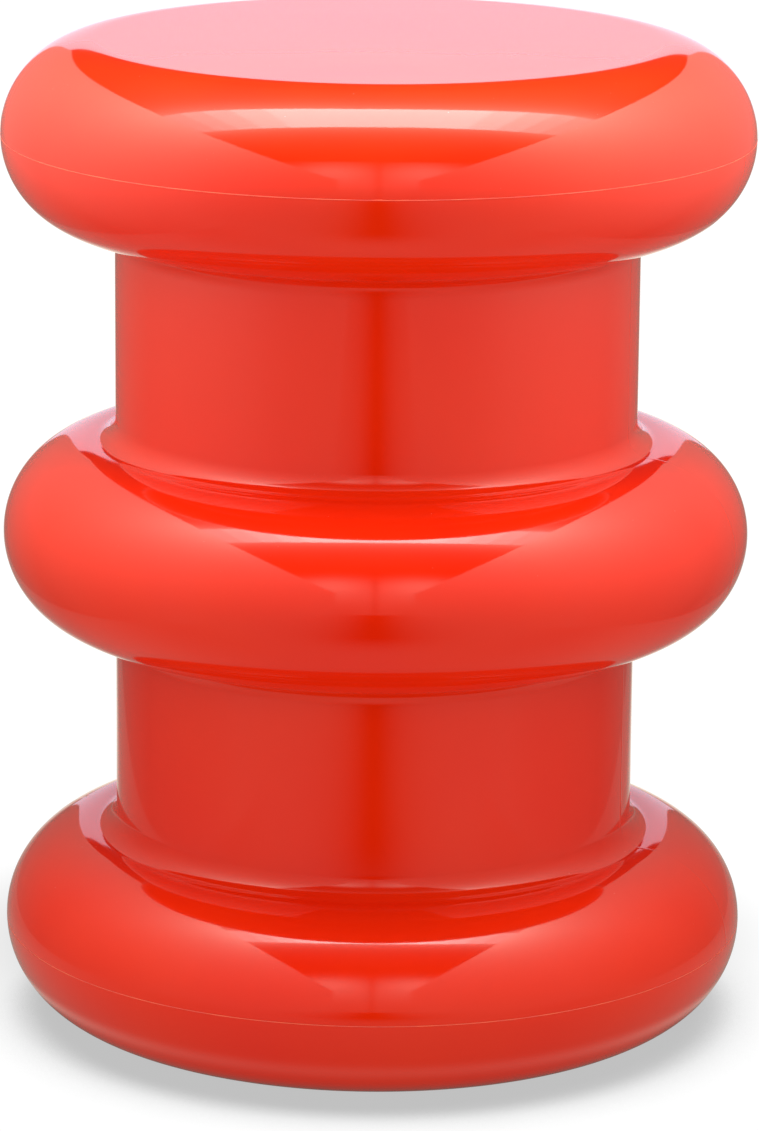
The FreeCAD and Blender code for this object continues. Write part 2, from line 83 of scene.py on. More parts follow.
class StoolSizes(bpy.types.PropertyGroup):
    """The sizes that a maker would change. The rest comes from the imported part."""

    drum_diameter: FloatProperty(
        name="Drum diameter",
        description="Outside of the plain drums between the rings",
        default=0.242,
        min=0.2,
        max=0.3,
        unit="LENGTH",
        subtype="DISTANCE",
    )
    neck_fillet: FloatProperty(
        name="Neck fillet",
        description="Hollow round where a drum meets a ring",
        default=0.010,
        min=0.004,
        max=0.03,
        unit="LENGTH",
        subtype="DISTANCE",
    )
    wall: FloatProperty(
        name="Wall",
        description="Moulded wall of the three outer shells",
        default=0.004,
        min=0.002,
        max=0.008,
        unit="LENGTH",
        subtype="DISTANCE",
    )
    parting_height: FloatProperty(
        name="Parting line height",
        description="How far the mould's parting line stands out down each side",
        default=0.00007,
        min=0.0,
        max=0.0005,
        unit="LENGTH",
        subtype="DISTANCE",
    )
    parting_angle: FloatProperty(
        name="Parting line angle",
        description="Where the parting line runs, turned from the X axis",
        default=math.radians(-18),
        subtype="ANGLE",
        unit="ROTATION",
    )
    columns: IntProperty(
        name="Columns",
        description="Faces round a moulding",
        default=288,
        min=64,
        max=720,
    )


class StoolColours(bpy.types.PropertyGroup):
    """The colours of the stool's own finishes."""

    shell: FloatVectorProperty(
        name="Shell",
        description="Glossy plastic of the three mouldings",
        default=(0.74, 0.0185, 0.0020),
        size=3,
        min=0,
        max=1,
        subtype="COLOR",
    )
    seam: FloatVectorProperty(
        name="Seam",
        description="Trimmed adhesive bead in the two seams",
        default=(0.88, 0.11, 0.065),
        size=3,
        min=0,
        max=1,
        subtype="COLOR",
    )
    structure: FloatVectorProperty(
        name="Structure",
        description="Moulded parts inside the stool",
        default=(0.028, 0.028, 0.031),
        size=3,
        min=0,
        max=1,
        subtype="COLOR",
    )
    steel: FloatVectorProperty(
        name="Steel",
        description="Zinc plated screws and washers",
        default=(0.56, 0.57, 0.58),
        size=3,
        min=0,
        max=1,
        subtype="COLOR",
    )
    rubber: FloatVectorProperty(
        name="Rubber",
        description="Foot pads",
        default=(0.022, 0.022, 0.024),
        size=3,
        min=0,
        max=1,
        subtype="COLOR",
    )
    plug: FloatVectorProperty(
        name="Plug",
        description="Vent plug in the underside",
        default=(0.03, 0.03, 0.033),
        size=3,
        min=0,
        max=1,
        subtype="COLOR",
    )


class StudioSettings(bpy.types.PropertyGroup):
    """How bright the studio round the stool is."""

    strip: FloatProperty(
        name="Overhead strip",
        description="Brightness of the long soft light over the seat",
        default=8.4,
        min=0,
        max=50,
    )
    fill: FloatProperty(
        name="Overhead fill",
        description="Brightness of the light over the seat that shows in no reflection",
        default=4.6,
        min=0,
        max=50,
    )
    boards: FloatProperty(
        name="Boards",
        description="Brightness of the white boards round the stool",
        default=1.0,
        min=0,
        max=5,
    )
    room: FloatProperty(
        name="Room",
        description="Brightness of the room beyond the boards",
        default=0.035,
        min=0,
        max=5,
    )


# Shapes. A line is a list of (radius, height) points.


def walk(start, stop, step):
    """Points along a straight run, close together near its ends, without its start."""
    start, stop = Vector(start), Vector(stop)
    length = (stop - start).length
    near = min(0.6 * MM, length / 4)
    count = max(1, round((length - 2 * near) / step))
    places = [near + (length - 2 * near) * k / count for k in range(count + 1)] + [length]
    return [tuple(start.lerp(stop, place / length)) for place in places]


def sweep(centre, radius, first, last, step):
    """Points round an arc from one angle to another in degrees, without its start."""
    first, last = math.radians(first), math.radians(last)
    count = max(3, round(abs(last - first) * radius / step))
    angles = [first + (last - first) * k / count for k in range(1, count + 1)]
    return [(centre[0] + radius * math.cos(a), centre[1] + radius * math.sin(a)) for a in angles]


def softened(before, corner, after, radius, count=4):
    """A small round that stands for one corner of a line."""
    before, corner, after = Vector(before), Vector(corner), Vector(after)
    start = corner + (before - corner).normalized() * radius
    stop = corner + (after - corner).normalized() * radius
    points = []
    for k in range(count + 1):
        share = k / count
        points.append(tuple(start.lerp(corner, share).lerp(corner.lerp(stop, share), share)))
    return points


def column_angles(count, fine_at=(), fine_width=0.0):
    """Evenly spaced angles, with a few extra ones across each fine feature."""
    angles = [2 * math.pi * k / count for k in range(count)]
    extra = [(middle + fine_width * k / 4) % (2 * math.pi) for middle in fine_at for k in range(-4, 5)]
    kept = [
        angle
        for angle in angles
        if all(abs(math.remainder(angle - middle, 2 * math.pi)) > fine_width * 1.5 for middle in fine_at)
    ]
    return sorted(kept + extra)


def turned(name, line, angles, closed=True, lift=None):
    """A closed mesh turned about the upright axis. A closed line joins its last point to its first.
    An open one starts and ends on the axis. lift(angle, place) moves a point outward."""
    verts, faces = [], []
    rings = line if closed else line[1:-1]
    count = len(angles)
    for place, (radius, height) in enumerate(rings):
        for angle in angles:
            reach = radius + (lift(angle, place) if lift else 0)
            verts.append((reach * math.cos(angle), reach * math.sin(angle), height))
    last = len(rings) if closed else len(rings) - 1
    for row in range(last):
        above = (row + 1) % len(rings)
        for k in range(count):
            after = (k + 1) % count
            faces.append((row * count + k, above * count + k, above * count + after, row * count + after))
    if not closed:
        for pole, row in ((0, 0), (-1, len(rings) - 1)):
            verts.append((0, 0, line[pole][1]))
            tip = len(verts) - 1
            for k in range(count):
                after = (k + 1) % count
                ends = (row * count + k, row * count + after)
                faces.append((tip, *ends) if pole == 0 else (tip, *ends[::-1]))
    mesh = bpy.data.meshes.new(name)
    mesh.from_pydata(verts, [], faces)
    return finished_mesh(mesh)


def finished_mesh(mesh, sharp=40):
    """Faces outward, shaded smooth except at its sharp edges."""
    work = bmesh.new()
    work.from_mesh(mesh)
    bmesh.ops.recalc_face_normals(work, faces=work.faces)
    work.to_mesh(mesh)
    work.free()
    mesh.shade_smooth()
    mesh.set_sharp_from_angle(angle=math.radians(sharp))
    return mesh


def placed(name, mesh, material, slot, *stands_for):
    """A piece of the stool in the scene, riding on its body."""
    piece = bpy.data.objects.new(name, mesh)
    bpy.context.scene.collection.objects.link(piece)
    mesh.materials.clear()
    mesh.materials.append(material)
    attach(piece, "root")
    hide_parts(*stands_for)
    return piece


# Materials.


def add(tree, kind, inputs=(), **settings):
    """One node. inputs are (socket, value or output) pairs."""
    node = tree.nodes.new(kind)
    for key, value in settings.items():
        setattr(node, key, value)
    for key, value in inputs:
        if isinstance(value, bpy.types.NodeSocket):
            tree.links.new(value, node.inputs[key])
        else:
            node.inputs[key].default_value = value
    return node


def calculate(tree, operation, *values):
    """The output of one Math node."""
    return add(tree, "ShaderNodeMath", list(enumerate(values)), operation=operation).outputs[0]


def remap(tree, value, from_min, from_max, to_min, to_max, smooth=False):
    """A value carried from one range to another."""
    settings = {"interpolation_type": "SMOOTHSTEP"} if smooth else {}
    labels = ("Value", "From Min", "From Max", "To Min", "To Max")
    inputs = zip(labels, (value, from_min, from_max, to_min, to_max))
    return add(tree, "ShaderNodeMapRange", inputs, **settings).outputs["Result"]


def noise_at(tree, place, size, detail=2.0, roughness=0.5, distortion=0.0):
    """Noise whose lumps are about one size across."""
    scale = calculate(tree, "DIVIDE", 1.0, size)
    labels = ("Vector", "Scale", "Detail", "Roughness", "Distortion")
    inputs = zip(labels, (place, scale, detail, roughness, distortion))
    return add(tree, "ShaderNodeTexNoise", inputs).outputs["Fac"]


def new_group(name, inputs, outputs):
    """An empty shader node group with named sockets."""
    group = bpy.data.node_groups.new(name, "ShaderNodeTree")
    for kind, label, default in inputs:
        socket = group.interface.new_socket(label, in_out="INPUT", socket_type=kind)
        socket.default_value = default
    for kind, label in outputs:
        group.interface.new_socket(label, in_out="OUTPUT", socket_type=kind)
    source = group.nodes.new("NodeGroupInput").outputs
    sink = group.nodes.new("NodeGroupOutput").inputs
    place = group.nodes.new("ShaderNodeTexCoord").outputs["Object"]
    return group, source, sink, place


def colour_drift_group():
    """Slow changes in the depth of a colour, as in one batch of moulded plastic."""
    group, source, sink, place = new_group(
        "Colour drift",
        (
            ("NodeSocketColor", "Colour", (1, 1, 1, 1)),
            ("NodeSocketFloat", "Drift", 0.05),
            ("NodeSocketFloat", "Size", 0.1),
        ),
        (("NodeSocketColor", "Colour"),),
    )
    slow = noise_at(group, place, source["Size"], detail=3)
    fine = noise_at(group, place, calculate(group, "MULTIPLY", source["Size"], 0.07), detail=2)
    both = calculate(group, "MULTIPLY_ADD", slow, 0.75, calculate(group, "MULTIPLY", fine, 0.25))
    level = calculate(group, "MULTIPLY_ADD", calculate(group, "SUBTRACT", both, 0.5), source["Drift"], 1.0)
    turn = calculate(group, "MULTIPLY", source["Drift"], 0.06)
    hue = calculate(group, "MULTIPLY_ADD", calculate(group, "SUBTRACT", slow, 0.5), turn, 0.5)
    inputs = (("Hue", hue), ("Value", level), ("Color", source["Colour"]))
    shifted = add(group, "ShaderNodeHueSaturation", inputs)
    group.links.new(shifted.outputs["Color"], sink["Colour"])
    return group


def moulded_relief_group():
    """Heights of a moulded surface: long shallow waves and a fine orange peel."""
    group, source, sink, place = new_group(
        "Moulded relief",
        (
            ("NodeSocketFloat", "Wave Size", 0.06),
            ("NodeSocketFloat", "Wave Height", 0.0),
            ("NodeSocketFloat", "Peel Size", 0.0012),
            ("NodeSocketFloat", "Peel Height", 0.0),
        ),
        (("NodeSocketFloat", "Height"),),
    )
    waves = noise_at(group, place, source["Wave Size"], detail=0.5)
    peel = noise_at(group, place, source["Peel Size"], detail=1.5)
    waves = calculate(group, "MULTIPLY", waves, source["Wave Height"])
    height = calculate(group, "MULTIPLY_ADD", peel, source["Peel Height"], waves)
    group.links.new(height, sink["Height"])
    return group


def handling_marks_group():
    """Fine crossing scratches and smudges, as a mask and as a roughness."""
    group, source, sink, place = new_group(
        "Handling marks",
        (
            ("NodeSocketFloat", "Roughness", 0.1),
            ("NodeSocketFloat", "Scratch Size", 0.004),
            ("NodeSocketFloat", "Scratch Amount", 0.1),
            ("NodeSocketFloat", "Smudge Size", 0.03),
            ("NodeSocketFloat", "Smudge Amount", 0.05),
        ),
        (("NodeSocketFloat", "Roughness"), ("NodeSocketFloat", "Scratches")),
    )
    masks = []
    for turn, stretch in ((0.4, 26.0), (1.7, 34.0), (2.6, 22.0)):
        leaning = add(
            group,
            "ShaderNodeMapping",
            (
                ("Vector", place),
                ("Rotation", (turn, turn * 0.7, turn * 1.9)),
                ("Scale", (stretch, 1.0, 1.0)),
            ),
        ).outputs["Vector"]
        streaks = noise_at(group, leaning, source["Scratch Size"], detail=1, distortion=0.15)
        masks.append(remap(group, streaks, 0.66, 0.74, 0.0, 1.0))
    scratches = calculate(group, "MAXIMUM", masks[0], calculate(group, "MAXIMUM", masks[1], masks[2]))
    where = remap(group, noise_at(group, place, 0.05, detail=2), 0.45, 0.65, 0.15, 1.0)
    scratches = calculate(group, "MULTIPLY", scratches, where)
    smudges = noise_at(group, place, source["Smudge Size"], detail=4, roughness=0.6)
    smudges = remap(group, smudges, 0.42, 0.72, 0.0, 1.0)
    rough = calculate(group, "MULTIPLY_ADD", scratches, source["Scratch Amount"], source["Roughness"])
    rough = calculate(group, "MULTIPLY_ADD", smudges, source["Smudge Amount"], rough)
    group.links.new(rough, sink["Roughness"])
    group.links.new(scratches, sink["Scratches"])
    return group


def settled_dust_group():
    """Pale specks of dust, mostly on faces that look up."""
    group, source, sink, place = new_group(
        "Settled dust",
        (
            ("NodeSocketColor", "Colour", (1, 1, 1, 1)),
            ("NodeSocketColor", "Dust Colour", (0.75, 0.7, 0.66, 1)),
            ("NodeSocketFloat", "Speck Size", 0.0006),
            ("NodeSocketFloat", "Amount", 0.1),
        ),
        (("NodeSocketColor", "Colour"), ("NodeSocketFloat", "Dust")),
    )
    normal = add(group, "ShaderNodeNewGeometry").outputs["Normal"]
    upward = add(group, "ShaderNodeSeparateXYZ", (("Vector", normal),)).outputs["Z"]
    lying = remap(group, upward, 0.2, 0.9, 0.15, 1.0)
    scale = calculate(group, "DIVIDE", 0.2, source["Speck Size"])
    inputs = (("Vector", place), ("Scale", scale), ("Randomness", 1.0))
    specks = add(group, "ShaderNodeTexVoronoi", inputs).outputs["Distance"]
    chosen = remap(group, noise_at(group, place, 0.006, detail=1), 0.62, 0.7, 0.0, 1.0)
    specks = calculate(group, "MULTIPLY", remap(group, specks, 0.04, 0.10, 1.0, 0.0), chosen)
    mask = calculate(group, "MULTIPLY", calculate(group, "MULTIPLY", specks, lying), source["Amount"])
    inputs = (("Factor", mask), ("A", source["Colour"]), ("B", source["Dust Colour"]))
    mixed = add(group, "ShaderNodeMix", inputs, data_type="RGBA")
    group.links.new(mixed.outputs[2], sink["Colour"])
    group.links.new(mask, sink["Dust"])
    return group


def shared_group(maker):
    """The node group that a maker builds, built once."""
    if maker.__name__ not in shared_group.made:
        shared_group.made[maker.__name__] = maker()
    return shared_group.made[maker.__name__]


shared_group.made = {}


def made_finish(name, colour, drift, marks, relief, dust, **constants):
    """A finish of the stool: a Principled shader fed by the shared effects.
    drift is (amount, size), marks (roughness, scratch size, scratch amount, smudge size, smudge amount),
    relief (wave size, wave height, peel size, peel height) and dust (speck size, amount)."""
    material = bpy.data.materials.get(name)
    if material:
        return material
    material = bpy.data.materials.new(name)
    material.use_nodes = True
    tree = material.node_tree
    tree.nodes.clear()

    def effect(maker, labels, values):
        inputs = zip(labels, values)
        return add(tree, "ShaderNodeGroup", inputs, node_tree=shared_group(maker)).outputs

    labels = ("Colour", "Drift", "Size")
    drifted = effect(colour_drift_group, labels, ((*colour, 1), *drift))
    labels = ("Colour", "Speck Size", "Amount")
    dusty = effect(settled_dust_group, labels, (drifted["Colour"], *dust))
    labels = ("Roughness", "Scratch Size", "Scratch Amount", "Smudge Size", "Smudge Amount")
    marked = effect(handling_marks_group, labels, marks)
    labels = ("Wave Size", "Wave Height", "Peel Size", "Peel Height")
    relieved = effect(moulded_relief_group, labels, relief)
    height = calculate(tree, "MULTIPLY_ADD", marked["Scratches"], -0.5e-6, relieved["Height"])
    bump = add(tree, "ShaderNodeBump", (("Height", height), ("Strength", 1.0), ("Distance", 1.0)))
    rough = calculate(tree, "MULTIPLY_ADD", dusty["Dust"], 0.5, marked["Roughness"])
    shader = add(
        tree,
        "ShaderNodeBsdfPrincipled",
        (("Base Color", dusty["Colour"]), ("Roughness", rough), ("Normal", bump.outputs["Normal"])),
    )
    for key, value in constants.items():
        shader.inputs[key.replace("_", " ").title().replace("Ior", "IOR")].default_value = value
    output = tree.nodes.new("ShaderNodeOutputMaterial")
    tree.links.new(shader.outputs["BSDF"], output.inputs["Surface"])
    return material


def shell_finish():
    colours = bpy.context.scene.stool_colours
    return made_finish(
        "Glossy shell plastic",
        colours.shell,
        drift=(0.05, 0.09),
        marks=(0.045, 0.004, 0.03, 0.05, 0.02),
        relief=(0.07, 18e-6, 0.0011, 0.12e-6),
        dust=(0.0006, 0.25),
        ior=1.49,
    )


def seam_finish():
    colours = bpy.context.scene.stool_colours
    return made_finish(
        "Trimmed adhesive",
        colours.seam,
        drift=(0.5, 0.012),
        marks=(0.38, 0.003, 0.1, 0.01, 0.1),
        relief=(0.004, 20e-6, 0.0006, 6e-6),
        dust=(0.0006, 0.3),
        ior=1.47,
    )


def structure_finish():
    colours = bpy.context.scene.stool_colours
    return made_finish(
        "Filled structural plastic",
        colours.structure,
        drift=(0.4, 0.03),
        marks=(0.46, 0.005, 0.12, 0.03, 0.1),
        relief=(0.02, 20e-6, 0.0007, 14e-6),
        dust=(0.0006, 0.3),
        ior=1.5,
    )


def steel_finish():
    colours = bpy.context.scene.stool_colours
    return made_finish(
        "Zinc plated steel",
        colours.steel,
        drift=(0.3, 0.006),
        marks=(0.28, 0.002, 0.18, 0.006, 0.16),
        relief=(0.003, 5e-6, 0.0004, 3e-6),
        dust=(0.0005, 0.1),
        metallic=1.0,
    )


def rubber_finish():
    colours = bpy.context.scene.stool_colours
    return made_finish(
        "Soft rubber",
        colours.rubber,
        drift=(0.5, 0.008),
        marks=(0.72, 0.003, 0.08, 0.008, 0.12),
        relief=(0.006, 20e-6, 0.0005, 12e-6),
        dust=(0.0005, 0.6),
        ior=1.5,
    )


def plug_finish():
    colours = bpy.context.scene.stool_colours
    return made_finish(
        "Satin plug plastic",
        colours.plug,
        drift=(0.4, 0.01),
        marks=(0.34, 0.003, 0.14, 0.008, 0.1),
        relief=(0.008, 15e-6, 0.0006, 6e-6),
        dust=(0.0005, 0.3),
        ior=1.5,
    )


# The shells' lines.

OUTSIDE_STEP = 2.2 * MM
INSIDE_STEP = 8 * MM
SEAM_HALF = 0.2 * MM
SEAM_DEPTH = 1.0 * MM
SEAM_ROUND = 0.12 * MM
LIP_GAP = 0.15 * MM
LIP_WALL = 2.5 * MM
LAP = LIP_TOP - UPPER_SEAM
DISH_EDGE = 88 * MM
DISH_BEND = 1.2 * MM
PAD_SEAT_GAP = 0.2 * MM
PAD_SEAT_WALL = 3 * MM
COUNTERBORE = 6.5 * MM
SCREW_HOLE = 2.75 * MM
VENT_HOLE = 5 * MM
PLUG_HEAD = 1.5 * MM
PARTING_HALF = 0.35 * MM


def ring_edge(inset, offset):
    """How far a ring's round reaches at a height off its widest line."""
    return ROUND_CENTRE + math.sqrt((ROUND_RADIUS - inset) ** 2 - offset**2)


def side_line(sizes, inset, step, start, stop):
    """The side of the body from one height on the bottom ring up to one on the top ring."""
    neck_centre = sizes.drum_diameter / 2 + sizes.neck_fillet
    reach = ROUND_RADIUS + sizes.neck_fillet
    rise = math.sqrt(reach**2 - (neck_centre - ROUND_CENTRE) ** 2)
    lean = math.degrees(math.atan2(rise, neck_centre - ROUND_CENTRE))
    ring = ROUND_RADIUS - inset
    hollow = sizes.neck_fillet + inset
    drum = neck_centre - hollow
    low = math.degrees(math.asin((start - LOWER_SEAM) / ring))
    high = math.degrees(math.asin((stop - UPPER_SEAM) / ring))
    small = min(step / 2, hollow * 0.09 if inset == 0 else step)
    line = [(ring_edge(inset, start - LOWER_SEAM), start)]
    for level, above in ((LOWER_SEAM, MIDDLE_RING), (MIDDLE_RING, UPPER_SEAM)):
        line += sweep((ROUND_CENTRE, level), ring, low, lean, step)
        line += sweep((neck_centre, level + rise), hollow, lean - 180, -180, small)
        line += walk((drum, level + rise), (drum, above - rise), step * 3)
        line += sweep((neck_centre, above - rise), hollow, 180, 180 - lean, small)
        low = -lean
    line += sweep((ROUND_CENTRE, UPPER_SEAM), ring, low, high, step)
    return line


def groove_edge(level, side, back):
    """From a ring's outside into the groove of its seam, over a small rounded edge."""
    height = level + side * SEAM_HALF
    outer = (ring_edge(0, SEAM_HALF), height)
    before = (ring_edge(0, SEAM_HALF * 3), level + side * SEAM_HALF * 3)
    inner = (RING_RADIUS - SEAM_DEPTH, height)
    points = softened(before, outer, inner, SEAM_ROUND) + [inner]
    return points[::-1] if back else points


def seat_line(sizes):
    """The seat moulding, from the middle of its top round to the middle of its underside."""
    wall = sizes.wall
    seat, under = SEAT_TOP, SEAT_TOP - wall
    rim = RING_RADIUS - wall
    line = [(0, seat)] + walk((0.004, seat), (ROUND_CENTRE, seat), 0.008)
    stop = math.degrees(math.asin(SEAM_HALF * 2.2 / ROUND_RADIUS))
    line += sweep((ROUND_CENTRE, UPPER_SEAM), ROUND_RADIUS, 90, stop, OUTSIDE_STEP)
    line += groove_edge(UPPER_SEAM, 1, back=False)
    line += [(RING_RADIUS - SEAM_DEPTH, UPPER_SEAM), (rim, UPPER_SEAM)]
    line += sweep((ROUND_CENTRE, UPPER_SEAM), ROUND_RADIUS - wall, 0, 90, INSIDE_STEP)
    line += walk((ROUND_CENTRE, under), (0.01, under), 0.02)
    return line + [(0, under)]


def body_line(sizes):
    """The body moulding, up its outside from the lower seam and down its inside again."""
    wall = sizes.wall
    near = SEAM_HALF * 2.2
    line = groove_edge(LOWER_SEAM, 1, back=True)
    line += side_line(sizes, 0, OUTSIDE_STEP, LOWER_SEAM + near, UPPER_SEAM - near)
    line += groove_edge(UPPER_SEAM, -1, back=False)
    mouth = ring_edge(wall, LAP)
    lip_out = mouth - LIP_GAP
    lip_in = lip_out - LIP_WALL
    seat = RING_RADIUS - SEAM_DEPTH
    upper = [(seat, 0), (lip_out, 0), (lip_out, LAP), (lip_in, LAP), (lip_in, -LAP)]
    line += [(radius, UPPER_SEAM + rise) for radius, rise in upper]
    line += side_line(sizes, wall, INSIDE_STEP, LOWER_SEAM + LAP, UPPER_SEAM - LAP)[::-1]
    line += [(radius, LOWER_SEAM - rise) for radius, rise in upper[::-1]]
    return line


def pan_line(sizes):
    """The base moulding, from the middle of its underside round to the middle of its top."""
    wall = sizes.wall
    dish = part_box("vent_plug")[0].z + PLUG_HEAD
    edge = DISH_EDGE
    slope = dish - PAN_UNDERSIDE
    shift = wall * (math.sqrt(2) - 1)
    rim = RING_RADIUS - wall
    line = [(0, dish)] + walk((0.002, dish), (edge - slope - 0.002, dish), 0.01)
    inner, outer = (edge - slope, dish), (edge, PAN_UNDERSIDE)
    line += softened((0, dish), inner, outer, DISH_BEND)
    line += softened(inner, outer, (ROUND_CENTRE, PAN_UNDERSIDE), DISH_BEND)
    line += walk((edge + 0.002, PAN_UNDERSIDE), (ROUND_CENTRE, PAN_UNDERSIDE), 0.01)
    stop = -math.degrees(math.asin(SEAM_HALF * 2.2 / ROUND_RADIUS))
    line += sweep((ROUND_CENTRE, LOWER_SEAM), ROUND_RADIUS, -90, stop, OUTSIDE_STEP)
    line += groove_edge(LOWER_SEAM, -1, back=False)
    line += [(RING_RADIUS - SEAM_DEPTH, LOWER_SEAM), (rim, LOWER_SEAM)]
    line += sweep((ROUND_CENTRE, LOWER_SEAM), ROUND_RADIUS - wall, 0, -90, INSIDE_STEP)
    line += [(edge + shift, PAN_UNDERSIDE + wall), (edge - slope + shift, dish + wall)]
    return line + [(0, dish + wall)]


def stepped_bore(orbit, angle, steps, name):
    """A stepped round plug that cuts a pad's seat and the holes over it."""
    line = [(0, steps[0][1])]
    for (radius, low), (_, high) in zip(steps[:-1], steps[1:]):
        line += [(radius, low), (radius, high)]
    line.append((0, steps[-1][1]))
    mesh = turned(name, line, column_angles(64), closed=False)
    mesh.transform(Matrix.Translation((orbit * math.cos(angle), orbit * math.sin(angle), 0)))
    return mesh


def combined(mesh, tools, operation):
    """A mesh with others joined to it or cut from it."""
    joined = bmesh.new()
    for tool in tools:
        joined.from_mesh(tool)
        bpy.data.meshes.remove(tool)
    cutter_mesh = bpy.data.meshes.new("cutter")
    joined.to_mesh(cutter_mesh)
    joined.free()
    base = bpy.data.objects.new("base", mesh)
    cutter = bpy.data.objects.new("cutter", cutter_mesh)
    for item in (base, cutter):
        bpy.context.scene.collection.objects.link(item)
    step = base.modifiers.new("combine", "BOOLEAN")
    step.operation, step.solver, step.object = operation, "EXACT", cutter
    bpy.context.view_layer.update()
    made = bpy.data.meshes.new_from_object(base.evaluated_get(bpy.context.evaluated_depsgraph_get()))
    for item in (base, cutter):
        bpy.data.objects.remove(item)
    bpy.data.meshes.remove(cutter_mesh)
    bpy.data.meshes.remove(mesh)
    if len(made.polygons) < 100:
        raise RuntimeError("a boolean left nothing of the base moulding")
    return made


# Operators.


class STOOL_OT_seat(bpy.types.Operator):
    """Turn the seat moulding with its soft upper round"""

    bl_idname = "stool.seat"
    bl_label = "Seat moulding"

    def execute(self, context):
        sizes = context.scene.stool_sizes
        mesh = turned("seat_moulding", seat_line(sizes), column_angles(sizes.columns), closed=False)
        placed("seat_moulding", mesh, shell_finish(), "shell", "seat_cap")
        return {"FINISHED"}


class STOOL_OT_body(bpy.types.Operator):
    """Turn the body moulding: three rounds, two drums, and a fine parting line down each side"""

    bl_idname = "stool.body"
    bl_label = "Body moulding"

    def execute(self, context):
        sizes = context.scene.stool_sizes
        line = body_line(sizes)
        first = len(groove_edge(LOWER_SEAM, 1, back=True))
        last = next(k for k, point in enumerate(line) if point[1] == UPPER_SEAM - SEAM_HALF)
        partings = (sizes.parting_angle, sizes.parting_angle + math.pi)
        half_width = PARTING_HALF / RING_RADIUS

        def parting(angle, place):
            if not first < place < last:
                return 0
            off = min(abs(math.remainder(angle - middle, 2 * math.pi)) for middle in partings)
            uneven = 0.7 + 0.3 * math.sin(place * 0.37)
            return sizes.parting_height * uneven * max(0.0, 1 - (off / half_width) ** 2)

        angles = column_angles(sizes.columns, partings, half_width)
        mesh = turned("body_moulding", line, angles, lift=parting)
        placed("body_moulding", mesh, shell_finish(), "shell", "body_shell")
        return {"FINISHED"}


class STOOL_OT_base(bpy.types.Operator):
    """Turn the base moulding and cut its pad seats, screw holes and vent"""

    bl_idname = "stool.base"
    bl_label = "Base moulding"

    def execute(self, context):
        sizes = context.scene.stool_sizes
        low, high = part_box(FOOT_PADS[0])
        orbit = (low.x + high.x) / 2
        recess = (high.x - low.x) / 2 + PAD_SEAT_GAP
        washer_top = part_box("base_washers")[1].z
        boss_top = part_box("base_stiffener")[0].z
        turns = [2 * math.pi * k / len(FOOT_PADS) for k in range(len(FOOT_PADS))]
        half_wall = PAN_UNDERSIDE + sizes.wall / 2
        mesh = turned("base_moulding", pan_line(sizes), column_angles(sizes.columns), closed=False)
        steps = [(recess + PAD_SEAT_WALL, half_wall), (0, boss_top)]
        bosses = [stepped_bore(orbit, turn, steps, "boss") for turn in turns]
        mesh = combined(mesh, bosses, "UNION")
        above = boss_top + 1 * MM
        steps = [(recess, 0), (COUNTERBORE, high.z), (SCREW_HOLE, washer_top), (0, above)]
        cuts = [stepped_bore(orbit, turn, steps, "seat") for turn in turns]
        vent = stepped_bore(0, 0, [(VENT_HOLE, 0), (0, above)], "vent")
        mesh = finished_mesh(combined(mesh, [*cuts, vent], "DIFFERENCE"), sharp=32)
        mesh.name = "base_moulding"
        placed("base_moulding", mesh, shell_finish(), "shell", "base_pan")
        return {"FINISHED"}


class STOOL_OT_seams(bpy.types.Operator):
    """Lay the trimmed adhesive beads in the two seams"""

    bl_idname = "stool.seams"
    bl_label = "Seam beads"

    def execute(self, context):
        inner = RING_RADIUS - SEAM_DEPTH
        edge = ring_edge(0, SEAM_HALF) - 0.04 * MM
        seams = (("upper_seam_bead", UPPER_SEAM, 0.10 * MM), ("lower_seam_bead", LOWER_SEAM, 0.05 * MM))
        for node, level, proud in seams:
            line = [(inner, -SEAM_HALF), (edge - 0.1 * MM, -SEAM_HALF)]
            for degrees in range(-75, 90, 30):
                turn = math.radians(degrees)
                line.append((edge + proud * math.cos(turn), 0.9 * SEAM_HALF * math.sin(turn)))
            line += [(edge - 0.1 * MM, SEAM_HALF), (inner, SEAM_HALF)]
            line = [(radius, level + rise) for radius, rise in line]
            crown = range(2, len(line) - 2)

            def ragged(angle, place, level=level, crown=crown):
                if place not in crown:
                    return 0
                spot = Vector((math.cos(angle) * 23, math.sin(angle) * 23, level * 40 + place * 0.3))
                return 0.05 * MM * (noise.noise(spot) + 0.6 * noise.noise(spot * 3.1))

            mesh = turned(node + "_crown", line, column_angles(720), lift=ragged)
            placed(node + "_crown", mesh, seam_finish(), "seam", node)
        return {"FINISHED"}


def foot_line(radius, height):
    """A foot pad, from the middle of its dimpled underside over two grooves and its rim to its top."""
    dimple, groove, rim = 0.5 * MM, 0.4 * MM, 1 * MM
    line = [(0, dimple), (4.0 * MM, dimple)]
    line += softened((4.0 * MM, dimple), (4.6 * MM, 0.45 * MM), (5.0 * MM, 0), 0.3 * MM)
    line += softened((4.6 * MM, 0.4 * MM), (5.1 * MM, 0), (8 * MM, 0), 0.25 * MM)
    for middle in (8.2 * MM, 10.6 * MM):
        for side in (-1, 1):
            outer, edge, inner = (middle + side * reach * MM for reach in (1, 0.5, 0.3))
            half = softened((outer, 0), (edge, 0), (inner, groove), 0.15 * MM)
            half.append((middle + side * 0.2 * MM, groove))
            line += half[::-side]
    line += [(radius - rim, 0)] + sweep((radius - rim, rim), rim, -90, 0, 0.2 * MM)
    line += walk((radius, rim), (radius, height - 0.2 * MM), 1 * MM)
    return line + [(radius - 0.2 * MM, height), (0, height)]


